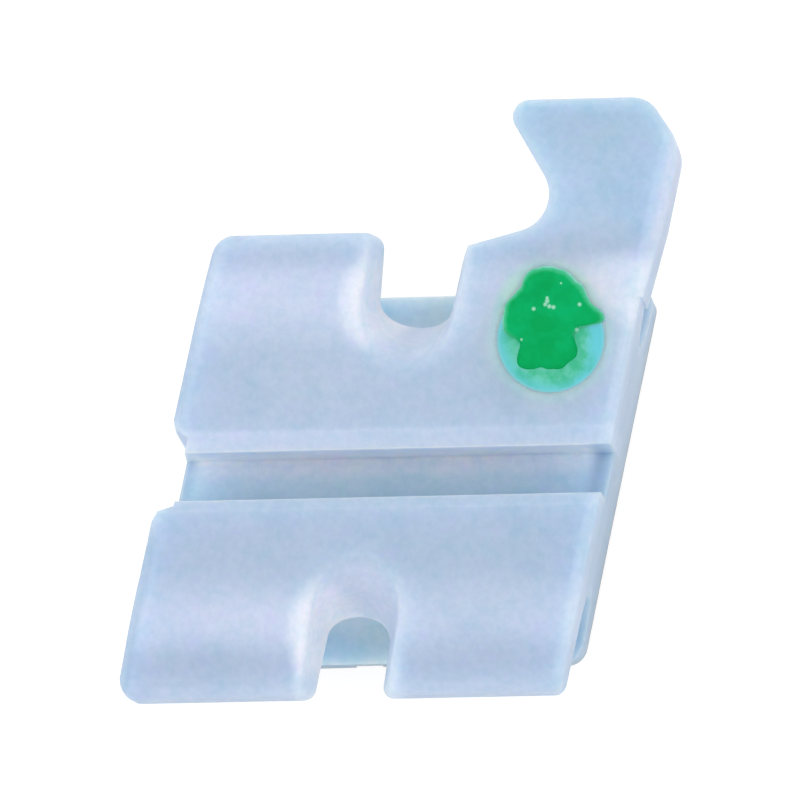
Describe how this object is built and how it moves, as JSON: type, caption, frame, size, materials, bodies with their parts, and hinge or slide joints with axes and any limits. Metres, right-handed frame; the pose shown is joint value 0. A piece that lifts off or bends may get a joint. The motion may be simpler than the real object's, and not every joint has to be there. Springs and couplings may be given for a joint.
{
  "type": "orthodontic bracket",
  "caption": "Ceramic orthodontic bracket: archwire slot between tie wings, scooped middle groove, curled hook and paint mark, on a concave grooved bonding base.",
  "frame": {"origin": "under the middle of the bonding base, level with the lowest corners of its rim", "axes": "+X along the archwire slot towards the hook's side (distal), +Y towards the gum, +Z out of the tooth; the part lies on its bonding base"},
  "size_m": [0.0054, 0.0056, 0.0022],
  "materials": {
    "ceramic": "translucent, polished, slightly milky",
    "paint": "thick glossy paint"
  },
  "bodies": {
    "root": {"bracket_body": "ceramic", "orientation_dot": "paint"}
  },
  "joints": []
}
